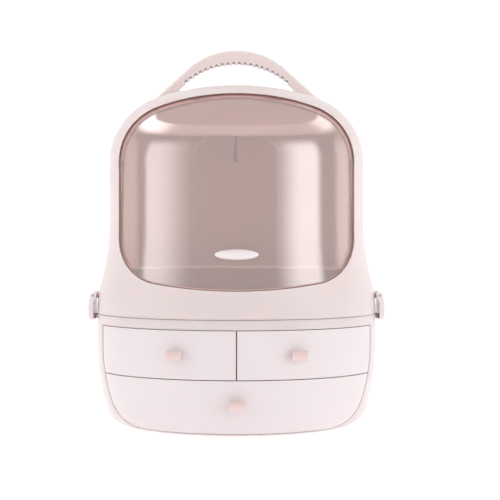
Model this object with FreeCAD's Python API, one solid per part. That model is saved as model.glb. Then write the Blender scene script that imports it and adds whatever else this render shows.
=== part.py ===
import FreeCAD, Part
import math
import os

from FreeCAD import Vector

# A free-standing cosmetic organizer box: an oval cabinet with three drawers, an opaque hood above it with
# a clear flip-up visor in its window, a carrying handle on the crest and a buckle on each side.
# Millimetres, Z up, the front faces -Y. The plan is one ellipse, centred on the Z axis while modelling.

# Plan of the cabinet
BASE_A = 130.0                   # half width of the plan ellipse
BASE_B = 95.0                    # half depth of the plan ellipse
WALL = 2.5                       # moulded wall

# Heights
PAD_T = 1.5                      # anti-slip pad under the floor
PAD_HALF_W = 95.0
PAD_HALF_D = 62.0
FLOOR_Z = 3.2                    # top of the cabinet floor, level with the foot of the drawer opening
RAIL_Z = 93.4                    # underside of the rail above the drawers
DECK_Z = 96.4                    # ledge that carries the compartment floor
DECK_T = 2.4
BASE_TOP = 102.0
SEAM = 0.4                       # line between cabinet and hood
LEDGE_W = 6.0                    # ledge under the compartment floor
NEST = 0.3                       # play of a piece that nests in the cabinet's rim
HOOD_Z0 = BASE_TOP + SEAM
HOOD_TOP = 315.0

# Front view of the cabinet: upright sides, a long arc that draws in, round bottom corners
BASE_ARC_Z = 75.0
BASE_ARC_R = 210.0
BASE_CORNER_R = 16.0
BASE_FRONT_ROUND = 3.0           # round at the foot of the front and back

# Front view of the drawer opening
DRAWER_HALF_W = 121.5
DRAWER_ARC_R = 150.0
DRAWER_CORNER_R = 34.0
DRAWER_FLOOR_GAP = 0.6
DRAWER_Z0 = FLOOR_Z + DRAWER_FLOOR_GAP
DRAWER_SPLIT_Z = 50.0            # between the upper drawers and the lower one
DRAWER_TOP_Z = 92.8
REVEAL = 0.6                     # gap round a drawer front
FRONT_T = 2.6                    # drawer front
FRONT_GAP = 0.2                  # between a drawer front and its box
SPLIT_GAP = 0.4                  # from the split to the fronts above and below it
BOX_WALL = 1.8                   # drawer box
BOX_BACK_Y = 50.0
UPPER_BOX_X0 = 2.2
UPPER_BOX_X1 = 104.0
UPPER_BOX_TOP = 88.0
LOWER_BOX_HALF_W = 100.0
LOWER_BOX_TOP = 45.5
LOWER_BOX_CORNER_R = 30.0
BOX_LIFT = 0.4                   # running gap under a drawer box

# Shelf and partition inside the cabinet
SHELF_T = 1.8
SHELF_TOP = 50.0
SHELF_TAB = 6.0                  # half width of a side tab
PARTITION_T = 2.0
INNER_SETBACK = 3.4              # shelf and partition stop this far behind the drawer fronts' faces

# Knobs: short barrels on a round stem
KNOB_R = 4.5
KNOB_L = 13.5
KNOB_REACH = 12.5
KNOB_STEM_R = 3.4
KNOB_ROUND = 1.4
UPPER_KNOB_X = 55.0
UPPER_KNOB_Z = 71.5
LOWER_KNOB_Z = 29.0
SCREW_R = 1.5
SCREW_HEAD_R = 2.8
SCREW_HEAD_T = 2.0
SCREW_GAP = 0.03
SCREW_PLAY = 0.2                 # hole in a wall that a knob's screw passes through
DECK_SCREW_R = 1.2
DECK_SCREW_HEAD_R = 2.4
DECK_SCREW_CONE = 1.2

# Hood outline in front view, swept round the oval plan
HOOD_SIDE_X = 119.0              # half width above the flare
HOOD_FLARE_Z = 185.0             # the flare to the cabinet begins here
HOOD_FLARE_R = 190.0
HOOD_ARCH_R = 235.0
HOOD_CORNER_R = 63.0
SPIGOT_H = 4.0                   # the hood's foot ring rises this far inside it

# Window in the hood, in front view
WINDOW_INSET = 12.0
WINDOW_BOTTOM_Z = 126.9
WINDOW_BOTTOM_R = 470.0
WINDOW_CORNER_R = 40.0

# Visor behind the window, turning on two pins at its sides
VISOR_GAP = 0.9
VISOR_T = 2.2
VISOR_OVERLAP = 3.0              # hidden behind the frame above the pivots
PIVOT_Y = -27.0
PIVOT_Z = 240.0
EAR_R = 10.0
EAR_X = 106.4                    # outer face of a visor ear
EAR_T = 2.2
PIN_R = 1.5
PIN_RUN = 0.05                   # running clearance on a pin
PIN_HEAD_R = 2.6
PIN_HEAD_T = 1.2
PIN_BOSS_R = 4.0
PULL_Z = 158.8
PULL_HALF = (19.3, 4.5, 4.8)     # half width, reach and half height of the oval pull

# Handle on the crest of the hood
HANDLE_Y = 22.0
HANDLE_W = 20.0
HANDLE_TOP = 350.0
HANDLE_CROWN_R = 70.0
HANDLE_FLANK_DEG = 42.0
HANDLE_GRIP_Z = 337.7            # underside at the middle
HANDLE_GRIP_R = 74.6
HANDLE_LEG_X = 54.4              # inner side of a leg
HANDLE_FOOT_X = 88.0             # outer end of a leg
HANDLE_ROUND = 3.0
GRIP_NOTCHES = 20
GRIP_NOTCH_R = 1.3
GRIP_HALF_DEG = 39.8
HANDLE_SCREW_X = 66.0
HANDLE_SCREW_R = 1.6
HANDLE_SCREW_TOP = 311.0
HANDLE_BOSS_R = 5.0
HANDLE_BOSS_Z = 297.5

# Buckles at the sides
LATCH_PIN_X = 132.6
LATCH_PIN_Z = 119.0
LATCH_PIN_R = 1.1
LATCH_EYE_R = 2.9
LATCH_HALF_W = 18.0
LUG_R = 2.3
LUG_HALF_W = 6.0
LUG_GAP = 0.4
CATCH_HALF_W = 9.0
CATCH_Z = 98.8
CATCH_T = 2.4
CATCH_REACH = 2.0
LATCH_BELLY = (137.2, 108.0)     # widest point of the bowed plate, x and z
LATCH_TOE = (136.2, 97.6)        # lower end of its outer face
LATCH_HOOK = [(135.4, 96.7), (131.2, 96.7), (130.7, 97.2), (130.7, 98.4), (132.4, 98.4), (132.4, 113.0)]
LATCH_OUTER_DEG = 20.0           # where the plate's outer face leaves the eye
LATCH_INNER_DEG = 215.0          # where its inner face leaves the eye

# Lift-out tray in the compartment
TRAY_A = 119.5
TRAY_B = 86.0
TRAY_WALL = 2.0
TRAY_RIM_Z = 140.5
TRAY_FRONT_Z = 124.0
TRAY_SLOPE_Y = (-50.0, -5.0)     # the rim rises between these depths
DIVIDER_T = 1.6
DIVIDER_TOP = 117.0
CROSS_Y = 14.0
REAR_DIVIDER_X = 38.0

# Panel on the inside of the hood's back
LINER_GAP = 0.3
LINER_T = 2.0
LINER_HALF_W = 96.0
LINER_Z0 = 143.0
LINER_Z1 = 273.0
RELIEF_T = 2.0
RELIEF_HALF_W = 42.0
RELIEF_CHAMFER = 13.0
FIN_DROP = 27.0
FIN_REACH = 14.0
FIN_T = 2.0

# Small plays, overruns and steps
OVERCUT = 1.0
TIP_GAP = 0.5
EDGE_SLACK = 1.0
CORNER_STEPS = 5
ARC_STEPS = 4
NECK_STEPS = 3
LEDGE_SCREW_AT = 0.6
DECK_SCREW_DEG = 45
SHELF_PLAY = 0.4
EAR_PLAY = 0.5
PIN_PLAY = 0.2
PIN_REACH = 4.2
HANDLE_BOSS_OVER = 4.0
HANDLE_FOOT_RUN = 20.0
HANDLE_HEAD_R = SCREW_HEAD_R + 0.5
FIN_ROOT = 1.0
LATCH_SLOT_IN = 5.0
LATCH_SLOT_OUT = 8.0
LATCH_SLOT_UP = 5.0
LATCH_SLOT_PLAY = 0.8
LATCH_PIN_INSET = 1.0
VISOR_STEP_UP = 6.0
PULL_SEAT = 2.2

# The origin is under the middle of the whole box, knobs included
ORIGIN_SHIFT = Vector(0, KNOB_REACH / 2, 0)
FAR = 200.0                      # cutting bodies reach this far


def arc_xz(cx, cz, radius, deg0, deg1):
    """Arc in the XZ plane between two angles, measured from +X towards +Z."""
    angles = [math.radians(a) for a in (deg0, (deg0 + deg1) / 2, deg1)]
    points = [Vector(cx + radius * math.cos(a), 0, cz + radius * math.sin(a)) for a in angles]
    return Part.Arc(*points).toShape()


def line_xz(x0, z0, x1, z1):
    return Part.LineSegment(Vector(x0, 0, z0), Vector(x1, 0, z1)).toShape()


def closed_wire(edges):
    return Part.Wire(Part.__sortEdges__(edges))


def mirrored_wire(half):
    """Closed outline from its right half, which runs from one point on the Z axis to another."""
    left = [edge.mirror(Vector(0, 0, 0), Vector(1, 0, 0)) for edge in half]
    return closed_wire(half + left)


def front_prism(wire, y0, y1):
    """Solid of an XZ outline between two depths."""
    face = Part.Face(wire)
    face.translate(Vector(0, y0, 0))
    return face.extrude(Vector(0, y1 - y0, 0))


def oval_prism(a, b, z0, z1):
    """Upright elliptic cylinder on the Z axis."""
    edge = Part.Ellipse(Vector(0, 0, z0), a, b).toShape()
    return Part.Face(Part.Wire(edge)).extrude(Vector(0, 0, z1 - z0))


def plan_prism(inset, z0, z1):
    """Elliptic cylinder of the cabinet's widest plan, set in from its face."""
    return oval_prism(BASE_A - inset, BASE_B - inset, z0, z1)


def slab(z0, z1):
    return box(-FAR, FAR, -FAR, FAR, z0, z1)


def box(x0, x1, y0, y1, z0, z1):
    return Part.makeBox(x1 - x0, y1 - y0, z1 - z0, Vector(x0, y0, z0))


def rod(radius, start, end):
    """Round bar from one point to another."""
    start = Vector(*start)
    along = Vector(*end) - start
    return Part.makeCylinder(radius, along.Length, start, along)


def fuse_all(shapes):
    whole = shapes[0].multiFuse(shapes[1:])
    return whole.removeSplitter()


def mirror_x(shape):
    return shape.mirror(Vector(0, 0, 0), Vector(1, 0, 0))


def drawn_in_outline(half_w, arc_r, corner_r, z0, z1):
    """Front view outline: upright sides, an arc that draws in below BASE_ARC_Z, round bottom corners."""
    arc_x = half_w - arc_r
    corner_z = z0 + corner_r
    drop = BASE_ARC_Z - corner_z
    corner_x = arc_x + math.sqrt((arc_r - corner_r) ** 2 - drop ** 2)
    meet = -math.degrees(math.asin(drop / (arc_r - corner_r)))
    half = [
        line_xz(0, z1, half_w, z1),
        line_xz(half_w, z1, half_w, BASE_ARC_Z),
        arc_xz(arc_x, BASE_ARC_Z, arc_r, 0, meet),
        arc_xz(corner_x, corner_z, corner_r, meet, -90),
        line_xz(corner_x, z0, 0, z0),
    ]
    return mirrored_wire(half)


def cabinet_sections():
    """Half width, half depth and height of the cabinet's ovals, from its foot to its top."""
    arc_x = BASE_A - BASE_ARC_R
    corner_z = PAD_T + BASE_CORNER_R
    drop = BASE_ARC_Z - corner_z
    corner_x = arc_x + math.sqrt((BASE_ARC_R - BASE_CORNER_R) ** 2 - drop ** 2)
    meet = math.asin(drop / (BASE_ARC_R - BASE_CORNER_R))
    quarter = math.pi / 2
    corner = [quarter + (meet - quarter) * step / CORNER_STEPS for step in range(CORNER_STEPS)]
    arc = [meet * (1 - step / ARC_STEPS) for step in range(ARC_STEPS + 1)]
    rows = [(corner_x + BASE_CORNER_R * math.cos(a), corner_z - BASE_CORNER_R * math.sin(a)) for a in corner]
    rows += [(arc_x + BASE_ARC_R * math.cos(a), BASE_ARC_Z - BASE_ARC_R * math.sin(a)) for a in arc]
    rows += [(BASE_A, BASE_ARC_Z + (BASE_TOP - BASE_ARC_Z) * step / NECK_STEPS) for step in range(1, NECK_STEPS + 1)]
    sections = []
    for half_w, z in rows:
        below = max(BASE_FRONT_ROUND - (z - PAD_T), 0)
        half_d = BASE_B - BASE_FRONT_ROUND + math.sqrt(BASE_FRONT_ROUND ** 2 - below ** 2)
        sections.append((half_w, half_d, z))
    return sections


def cabinet_core(inset):
    """Solid inside the cabinet's face, set in level by level: an oval whose sides draw in below."""
    ovals = [Part.Ellipse(Vector(0, 0, z), a - inset, b - inset).toShape() for a, b, z in cabinet_sections()]
    return Part.makeLoft([Part.Wire(oval) for oval in ovals], True, False)


def drawer_outline(grow):
    return drawn_in_outline(DRAWER_HALF_W + grow, DRAWER_ARC_R + grow, DRAWER_CORNER_R + grow,
                            DRAWER_Z0 - grow, DRAWER_TOP_Z + grow)


def crest_centres():
    """Centres of the hood's top arch and of its upper corner, which meet in a smooth line."""
    arch_z = HOOD_TOP - HOOD_ARCH_R
    corner_x = HOOD_SIDE_X - HOOD_CORNER_R
    corner_z = arch_z + math.sqrt((HOOD_ARCH_R - HOOD_CORNER_R) ** 2 - corner_x ** 2)
    meet = math.degrees(math.atan2(corner_z - arch_z, corner_x))
    return arch_z, corner_x, corner_z, meet


def hood_solid(inset, z0):
    """Solid inside the hood's outer face, set in evenly: its front outline swept round the oval plan."""
    arch_z, corner_x, corner_z, meet = crest_centres()
    spread = BASE_A - HOOD_SIDE_X
    drop = HOOD_FLARE_Z - HOOD_Z0
    radii = (spread ** 2 + drop ** 2) / (2 * spread)
    foot_r = radii - HOOD_FLARE_R
    turn = math.degrees(math.asin(drop / radii))
    side = HOOD_SIDE_X - inset
    foot = BASE_A - inset
    top = HOOD_TOP - inset
    edges = [
        arc_xz(0, arch_z, HOOD_ARCH_R - inset, 90, meet),
        arc_xz(corner_x, corner_z, HOOD_CORNER_R - inset, meet, 0),
        line_xz(side, corner_z, side, HOOD_FLARE_Z),
        arc_xz(HOOD_SIDE_X + HOOD_FLARE_R, HOOD_FLARE_Z, HOOD_FLARE_R + inset, 180, 180 + turn),
        arc_xz(BASE_A - foot_r, HOOD_Z0, foot_r - inset, turn, 0),
    ]
    if z0 < HOOD_Z0:
        edges.append(line_xz(foot, HOOD_Z0, foot, z0))
    edges.append(line_xz(foot, z0, 0, z0))
    edges.append(line_xz(0, z0, 0, top))
    profile = Part.Face(closed_wire(edges))
    solid = profile.revolve(Vector(0, 0, 0), Vector(0, 0, 1), 360)
    flatten = FreeCAD.Matrix()
    flatten.scale(1, (BASE_B - inset) / (BASE_A - inset), 1)
    return solid.transformGeometry(flatten)


def hood_shell_between(outer_inset, inner_inset):
    return hood_solid(outer_inset, HOOD_Z0).cut(hood_solid(inner_inset, HOOD_Z0 - OVERCUT))


def window_outline(grow):
    """Front view of the window: the crest's curves inside the hood's outline, round lower corners."""
    arch_z, corner_x, corner_z, meet = crest_centres()
    offset = grow - WINDOW_INSET
    side = HOOD_SIDE_X + offset
    low_x = HOOD_SIDE_X - WINDOW_INSET - WINDOW_CORNER_R
    bottom_z = WINDOW_BOTTOM_Z + WINDOW_BOTTOM_R
    low_z = bottom_z - math.sqrt((WINDOW_BOTTOM_R - WINDOW_CORNER_R) ** 2 - low_x ** 2)
    low_meet = math.degrees(math.atan2(low_z - bottom_z, low_x))
    half = [
        arc_xz(0, arch_z, HOOD_ARCH_R + offset, 90, meet),
        arc_xz(corner_x, corner_z, HOOD_CORNER_R + offset, meet, 0),
        line_xz(side, corner_z, side, low_z),
        arc_xz(low_x, low_z, WINDOW_CORNER_R + grow, 0, low_meet),
        arc_xz(0, bottom_z, WINDOW_BOTTOM_R + grow, low_meet, -90),
    ]
    return mirrored_wire(half)


def face_y(x, inset):
    """Depth of the cabinet's front face, or of a face set in from it, at a distance from the middle."""
    return -(BASE_B - inset) * math.sqrt(1 - (x / (BASE_A - inset)) ** 2)


# Cabinet

def base_shell():
    body = cabinet_core(0)
    bay = cabinet_core(WALL).common(slab(FLOOR_Z, RAIL_Z))
    ledge_hole = plan_prism(WALL + LEDGE_W, RAIL_Z, DECK_Z)
    pocket = plan_prism(WALL, DECK_Z, BASE_TOP)
    opening = front_prism(drawer_outline(REVEAL), -FAR, 0)
    catch_x = BASE_A - WALL / 2
    catch = box(catch_x, BASE_A + CATCH_REACH, -CATCH_HALF_W, CATCH_HALF_W, CATCH_Z, CATCH_Z + CATCH_T)
    hole_r = DECK_SCREW_R + SCREW_GAP
    holes = [rod(hole_r, (x, y, RAIL_Z), (x, y, DECK_Z)) for x, y in deck_screw_spots()]
    shell = body.cut(bay).cut(ledge_hole).cut(pocket).cut(opening)
    return fuse_all([shell, catch, mirror_x(catch)]).cut(Part.makeCompound(holes))


def deck_screw_spots():
    """Four places on the ledge that carries the compartment floor."""
    inset = WALL + LEDGE_W * LEDGE_SCREW_AT
    x = (BASE_A - inset) * math.cos(math.radians(DECK_SCREW_DEG))
    y = (BASE_B - inset) * math.sin(math.radians(DECK_SCREW_DEG))
    return [(x, y), (-x, y), (-x, -y), (x, -y)]


def deck_screw(x, y, gap):
    """Countersunk screw, flush with the compartment floor. A gap above zero makes its hole."""
    top = DECK_Z + DECK_T
    neck = top - DECK_SCREW_CONE
    shank = rod(DECK_SCREW_R + gap, (x, y, RAIL_Z + TIP_GAP), (x, y, neck))
    head = Part.makeCone(DECK_SCREW_R + gap, DECK_SCREW_HEAD_R + gap, DECK_SCREW_CONE, Vector(x, y, neck))
    return fuse_all([shank, head])


def compartment_floor():
    plate = plan_prism(WALL + NEST, DECK_Z, DECK_Z + DECK_T)
    holes = [deck_screw(x, y, SCREW_GAP) for x, y in deck_screw_spots()]
    return plate.cut(Part.makeCompound(holes))


def deck_screws():
    return Part.makeCompound([deck_screw(x, y, 0) for x, y in deck_screw_spots()])


def anti_slip_pad():
    return oval_prism(PAD_HALF_W, PAD_HALF_D, 0, PAD_T)


def drawer_shelf():
    """Shelf that clears the drawer fronts, with a tab at each side that meets the cabinet's wall."""
    z0 = SHELF_TOP - SHELF_T
    half_w = BASE_A - BASE_ARC_R + math.sqrt(BASE_ARC_R ** 2 - (BASE_ARC_Z - z0) ** 2)
    plate = oval_prism(half_w - INNER_SETBACK, BASE_B - INNER_SETBACK, z0, SHELF_TOP)
    tabs = box(WALL - half_w + SHELF_PLAY, half_w - WALL - SHELF_PLAY, -SHELF_TAB, SHELF_TAB, z0, SHELF_TOP)
    return fuse_all([plate, tabs])


def drawer_partition():
    half = PARTITION_T / 2
    wall = box(-half, half, -BASE_B, BASE_B, SHELF_TOP, RAIL_Z)
    return wall.common(cabinet_core(INNER_SETBACK))


# Drawers

def drawer_front(x0, x1, z0, z1, knob_x, knob_z):
    """Curved front, flush with the cabinet's face, with the hole for the knob's screw."""
    skin = cabinet_core(0).cut(cabinet_core(FRONT_T))
    skin = skin.common(front_prism(drawer_outline(0), -FAR, 0))
    skin = skin.common(box(x0, x1, -FAR, 0, z0, z1))
    return skin.cut(rod(SCREW_R + SCREW_PLAY, (knob_x, -FAR, knob_z), (knob_x, 0, knob_z)))


def drawer_box(section, hollow, knob_x, knob_z):
    """Open-topped box whose front wall follows the drawer front."""
    outside = front_prism(section, -FAR, BOX_BACK_Y).common(cabinet_core(FRONT_T + FRONT_GAP))
    inside = front_prism(hollow, -FAR, BOX_BACK_Y - BOX_WALL)
    inside = inside.common(cabinet_core(FRONT_T + FRONT_GAP + BOX_WALL))
    hole = rod(SCREW_R + SCREW_PLAY, (knob_x, -FAR, knob_z), (knob_x, 0, knob_z))
    return outside.cut(inside).cut(hole)


def rect_wire(x0, x1, z0, z1):
    corners = [(x0, z0), (x1, z0), (x1, z1), (x0, z1)]
    ends = corners[1:] + corners[:1]
    return closed_wire([line_xz(*p, *q) for p, q in zip(corners, ends)])


def tub_wire(half_w, corner_r, z0, z1):
    """Section with round lower corners."""
    edge_x = half_w - corner_r
    half = [
        line_xz(0, z1, half_w, z1),
        line_xz(half_w, z1, half_w, z0 + corner_r),
        arc_xz(edge_x, z0 + corner_r, corner_r, 0, -90),
        line_xz(edge_x, z0, 0, z0),
    ]
    return mirrored_wire(half)


def upper_drawer_box():
    z0 = SHELF_TOP + BOX_LIFT
    section = rect_wire(UPPER_BOX_X0, UPPER_BOX_X1, z0, UPPER_BOX_TOP)
    hollow = rect_wire(UPPER_BOX_X0 + BOX_WALL, UPPER_BOX_X1 - BOX_WALL, z0 + BOX_WALL, UPPER_BOX_TOP + OVERCUT)
    return drawer_box(section, hollow, UPPER_KNOB_X, UPPER_KNOB_Z)


def lower_drawer_box():
    z0 = FLOOR_Z + BOX_LIFT
    section = tub_wire(LOWER_BOX_HALF_W, LOWER_BOX_CORNER_R, z0, LOWER_BOX_TOP)
    hollow = tub_wire(LOWER_BOX_HALF_W - BOX_WALL, LOWER_BOX_CORNER_R - BOX_WALL, z0 + BOX_WALL,
                      LOWER_BOX_TOP + OVERCUT)
    return drawer_box(section, hollow, 0, LOWER_KNOB_Z)


def knob(x, z):
    """Barrel across the end of a stem that stands on the drawer front."""
    bar_y = face_y(x, 0) - KNOB_REACH + KNOB_R
    bar = rod(KNOB_R, (x - KNOB_L / 2, bar_y, z), (x + KNOB_L / 2, bar_y, z))
    rims = [edge for edge in bar.Edges if isinstance(edge.Curve, Part.Circle)]
    bar = bar.makeFillet(KNOB_ROUND, rims)
    stem = rod(KNOB_STEM_R, (x, bar_y, z), (x, bar_y + FAR / 4, z))
    stem = stem.cut(cabinet_core(0))
    stem = stem.common(box(x - FAR, x + FAR, -FAR, 0, 0, BASE_TOP))
    bore = rod(SCREW_R + SCREW_GAP, (x, bar_y - OVERCUT, z), (x, 0, z))
    return fuse_all([bar, stem]).cut(bore)


def knob_screw(x, z):
    """Screw from inside the drawer through box and front into the knob."""
    bar_y = face_y(x, 0) - KNOB_REACH + KNOB_R
    seat_y = face_y(abs(x) + SCREW_HEAD_R, FRONT_T + FRONT_GAP + BOX_WALL) + SCREW_GAP
    shank = rod(SCREW_R, (x, bar_y, z), (x, seat_y, z))
    head = rod(SCREW_HEAD_R, (x, seat_y, z), (x, seat_y + SCREW_HEAD_T, z))
    return fuse_all([shank, head])


# Hood

def latch_lug():
    """Knuckle on the hood's side that holds the buckle's pin."""
    eye = rod(LUG_R, (LATCH_PIN_X, -LUG_HALF_W, LATCH_PIN_Z), (LATCH_PIN_X, LUG_HALF_W, LATCH_PIN_Z))
    root = box(BASE_A - WALL, LATCH_PIN_X, -LUG_HALF_W, LUG_HALF_W, LATCH_PIN_Z - LUG_R, LATCH_PIN_Z + LUG_R)
    bore = rod(LATCH_PIN_R + SCREW_GAP, (LATCH_PIN_X, -FAR, LATCH_PIN_Z), (LATCH_PIN_X, FAR, LATCH_PIN_Z))
    return fuse_all([eye, root]).cut(bore)


def pin_boss(within):
    """Boss behind the window frame that holds a visor pin."""
    inner_x = EAR_X + EAR_PLAY
    boss = rod(PIN_BOSS_R, (inner_x, PIVOT_Y, PIVOT_Z), (BASE_A, PIVOT_Y, PIVOT_Z))
    return boss.common(within)


def handle_boss():
    return rod(HANDLE_BOSS_R, (HANDLE_SCREW_X, HANDLE_Y, HANDLE_BOSS_Z),
               (HANDLE_SCREW_X, HANDLE_Y, HANDLE_BOSS_Z + HANDLE_BOSS_OVER))


def hood_spigot():
    """Ring that stands on the compartment floor inside the cabinet's rim."""
    seat = DECK_Z + DECK_T
    lower = plan_prism(WALL + NEST, seat, HOOD_Z0)
    upper = plan_prism(WALL / 2, HOOD_Z0, HOOD_Z0 + SPIGOT_H)
    bore = plan_prism(2 * WALL + NEST, seat, HOOD_Z0 + SPIGOT_H)
    return fuse_all([lower, upper]).cut(bore)


def hood_shell():
    shell = hood_shell_between(0, WALL)
    shell = shell.cut(front_prism(window_outline(0), -FAR, 0))
    mid_wall = hood_solid(WALL / 2, HOOD_Z0)
    extras = [latch_lug(), pin_boss(mid_wall), handle_boss()]
    extras += [mirror_x(piece) for piece in extras]
    whole = fuse_all([shell, hood_spigot()] + extras)
    pin_x = pin_end_x()
    bores = [rod(PIN_R + SCREW_GAP, (0, PIVOT_Y, PIVOT_Z), (pin_x + PIN_PLAY, PIVOT_Y, PIVOT_Z))]
    bores.append(rod(HANDLE_SCREW_R + SCREW_GAP, (HANDLE_SCREW_X, HANDLE_Y, 0),
                     (HANDLE_SCREW_X, HANDLE_Y, HOOD_TOP)))
    bores += [mirror_x(piece) for piece in bores]
    for bore in bores:
        whole = whole.cut(bore)
    return whole


def pin_end_x():
    """A visor pin stops just short of the hood's outer face."""
    return EAR_X + PIN_REACH


def handle():
    """Arch with a notched grip, standing on the hood."""
    crown_z = HANDLE_TOP - HANDLE_CROWN_R
    flank = math.radians(HANDLE_FLANK_DEG)
    crown_end_x = HANDLE_CROWN_R * math.sin(flank)
    crown_end_z = crown_z + HANDLE_CROWN_R * math.cos(flank)
    grip_z = HANDLE_GRIP_Z - HANDLE_GRIP_R
    grip_end_z = grip_z + math.sqrt(HANDLE_GRIP_R ** 2 - HANDLE_LEG_X ** 2)
    foot_z = HANDLE_BOSS_Z - HANDLE_FOOT_RUN
    flank_end_z = crown_end_z - (HANDLE_FOOT_X - crown_end_x) * math.tan(flank)
    half = [
        arc_xz(0, crown_z, HANDLE_CROWN_R, 90, 90 - HANDLE_FLANK_DEG),
        line_xz(crown_end_x, crown_end_z, HANDLE_FOOT_X, flank_end_z),
        line_xz(HANDLE_FOOT_X, flank_end_z, HANDLE_FOOT_X, foot_z),
        line_xz(HANDLE_FOOT_X, foot_z, HANDLE_LEG_X, foot_z),
        line_xz(HANDLE_LEG_X, foot_z, HANDLE_LEG_X, grip_end_z),
        arc_xz(0, grip_z, HANDLE_GRIP_R, math.degrees(math.acos(HANDLE_LEG_X / HANDLE_GRIP_R)), 90),
    ]
    arch = front_prism(mirrored_wire(half), HANDLE_Y - HANDLE_W / 2, HANDLE_Y + HANDLE_W / 2)
    outer_edges = [edge for edge in arch.Edges if on_handle_outside(edge)]
    arch = arch.makeFillet(HANDLE_ROUND, outer_edges)
    notches = []
    for index in range(GRIP_NOTCHES):
        angle = math.radians(GRIP_HALF_DEG * (2 * index / (GRIP_NOTCHES - 1) - 1))
        x = HANDLE_GRIP_R * math.sin(angle)
        z = grip_z + HANDLE_GRIP_R * math.cos(angle)
        notches.append(rod(GRIP_NOTCH_R, (x, -FAR, z), (x, FAR, z)))
    arch = arch.cut(Part.makeCompound(notches))
    arch = arch.cut(hood_solid(0, HOOD_Z0))
    bore = rod(HANDLE_SCREW_R + SCREW_GAP, (HANDLE_SCREW_X, HANDLE_Y, 0),
               (HANDLE_SCREW_X, HANDLE_Y, HANDLE_SCREW_TOP))
    return arch.cut(bore).cut(mirror_x(bore))


def on_handle_outside(edge):
    """True for the long edges of the crown and the flanks."""
    middle = edge.valueAt((edge.FirstParameter + edge.LastParameter) / 2)
    along_y = abs(edge.tangentAt(edge.FirstParameter).y) > 0.5
    crown_z = HANDLE_TOP - HANDLE_CROWN_R
    far_out = math.hypot(middle.x, middle.z - crown_z) > HANDLE_CROWN_R - EDGE_SLACK
    return far_out and not along_y and middle.x ** 2 < (HANDLE_FOOT_X - EDGE_SLACK) ** 2 and middle.z > HANDLE_BOSS_Z


def handle_screws():
    def screw(x):
        head_z = HANDLE_BOSS_Z - SCREW_HEAD_T
        shank = rod(HANDLE_SCREW_R, (x, HANDLE_Y, HANDLE_BOSS_Z), (x, HANDLE_Y, HANDLE_SCREW_TOP - TIP_GAP))
        head = rod(HANDLE_HEAD_R, (x, HANDLE_Y, head_z), (x, HANDLE_Y, HANDLE_BOSS_Z))
        return fuse_all([shank, head])

    return Part.makeCompound([screw(-HANDLE_SCREW_X), screw(HANDLE_SCREW_X)])


def back_liner():
    """Panel inside the hood's back with a raised middle field and a small fin under its top edge."""
    skin_in = WALL + LINER_GAP
    skin_out = skin_in + LINER_T
    field_out = skin_out + RELIEF_T
    skin = hood_shell_between(skin_in, skin_out)
    skin = skin.common(box(-LINER_HALF_W, LINER_HALF_W, 0, FAR, LINER_Z0, LINER_Z1))
    corner_x = RELIEF_HALF_W - RELIEF_CHAMFER
    half = [
        line_xz(0, LINER_Z1, corner_x, LINER_Z1),
        line_xz(corner_x, LINER_Z1, RELIEF_HALF_W, LINER_Z1 - RELIEF_CHAMFER),
        line_xz(RELIEF_HALF_W, LINER_Z1 - RELIEF_CHAMFER, RELIEF_HALF_W, LINER_Z0),
        line_xz(RELIEF_HALF_W, LINER_Z0, 0, LINER_Z0),
    ]
    field = hood_shell_between(skin_in + LINER_T / 2, field_out)
    field = field.common(front_prism(mirrored_wire(half), 0, FAR))
    wall_y = (BASE_B - field_out) / (BASE_A - field_out) * (HOOD_SIDE_X - field_out)
    root_y = wall_y + FIN_ROOT
    points = [(root_y, LINER_Z1), (wall_y - FIN_REACH, LINER_Z1), (root_y, LINER_Z1 - FIN_DROP)]
    loop = [Vector(-FIN_T / 2, y, z) for y, z in points]
    fin = Part.Face(Part.makePolygon(loop + loop[:1])).extrude(Vector(FIN_T, 0, 0))
    fin = fin.common(hood_solid(skin_in + LINER_T / 2, HOOD_Z0))
    return fuse_all([skin, field, fin])


# Buckles

def latch():
    """Buckle on the right side: an eye on the pin, a bowed plate and a hook under the cabinet's catch."""
    eye_x = LATCH_PIN_X
    eye_z = LATCH_PIN_Z
    eye = arc_xz(eye_x, eye_z, LATCH_EYE_R, LATCH_INNER_DEG, LATCH_OUTER_DEG)
    inner = eye.Vertexes[0].Point
    outer = eye.Vertexes[1].Point
    path = [LATCH_TOE] + LATCH_HOOK + [(inner.x, inner.z)]
    edges = [line_xz(*p, *q) for p, q in zip(path, path[1:])]
    edges.append(eye)
    bow = [outer] + [Vector(x, 0, z) for x, z in (LATCH_BELLY, LATCH_TOE)]
    edges.append(Part.Arc(*bow).toShape())
    plate = front_prism(closed_wire(edges), -LATCH_HALF_W, LATCH_HALF_W)
    half_slot = LUG_HALF_W + LUG_GAP
    slot = box(eye_x - LATCH_SLOT_IN, eye_x + LATCH_SLOT_OUT, -half_slot, half_slot,
               eye_z - LUG_R - LATCH_SLOT_PLAY, eye_z + LATCH_SLOT_UP)
    bore = rod(LATCH_PIN_R + PIN_RUN, (eye_x, -FAR, eye_z), (eye_x, FAR, eye_z))
    return plate.cut(slot).cut(bore)


def latch_pin():
    reach = LATCH_HALF_W - LATCH_PIN_INSET
    return rod(LATCH_PIN_R, (LATCH_PIN_X, -reach, LATCH_PIN_Z), (LATCH_PIN_X, reach, LATCH_PIN_Z))


# Visor

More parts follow.
